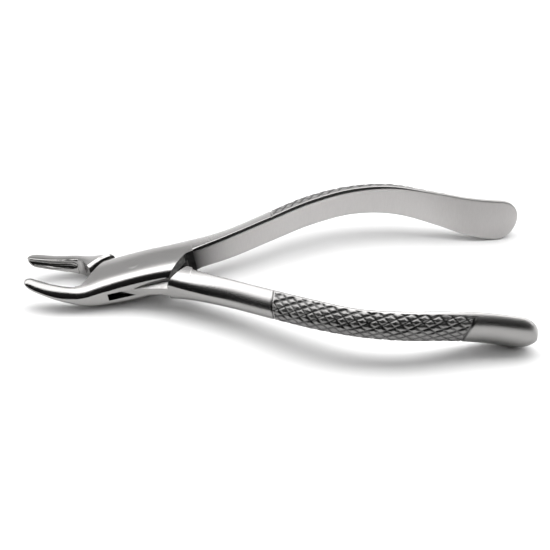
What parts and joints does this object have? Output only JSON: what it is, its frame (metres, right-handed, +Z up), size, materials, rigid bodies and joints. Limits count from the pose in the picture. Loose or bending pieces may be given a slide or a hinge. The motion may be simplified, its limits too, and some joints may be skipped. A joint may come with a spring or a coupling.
{
  "type": "extraction forceps",
  "caption": "Dental extraction forceps for upper teeth: steel halves in a box joint, with grooved serrated beaks and bowed, knurled handles, lying part open.",
  "frame": {"origin": "centre of the bounding box in plan, on the table that the forceps lie on", "axes": "+X along the instrument from the beaks to the handles, +Z up from the table; the two halves mirror each other about y = 0 outside the joint"},
  "size_m": [0.1634, 0.0708, 0.0187],
  "materials": {
    "forged_steel": "satin faces, bright polished rounds, diamond knurl on the handles",
    "pin_steel": "ground flush, satin"
  },
  "bodies": {
    "box_side": {"box_half": "forged_steel", "pivot_pin": "pin_steel"},
    "tongue_side": {"tongue_half": "forged_steel"}
  },
  "joints": [
    {"name": "jaw_pivot", "type": "hinge", "parent": "box_side", "child": "tongue_side", "pos_m": [-0.04623, 0, 0.00636], "axis": [0.16, 0, -0.9871], "range_deg": [-14.5, 18]}
  ]
}
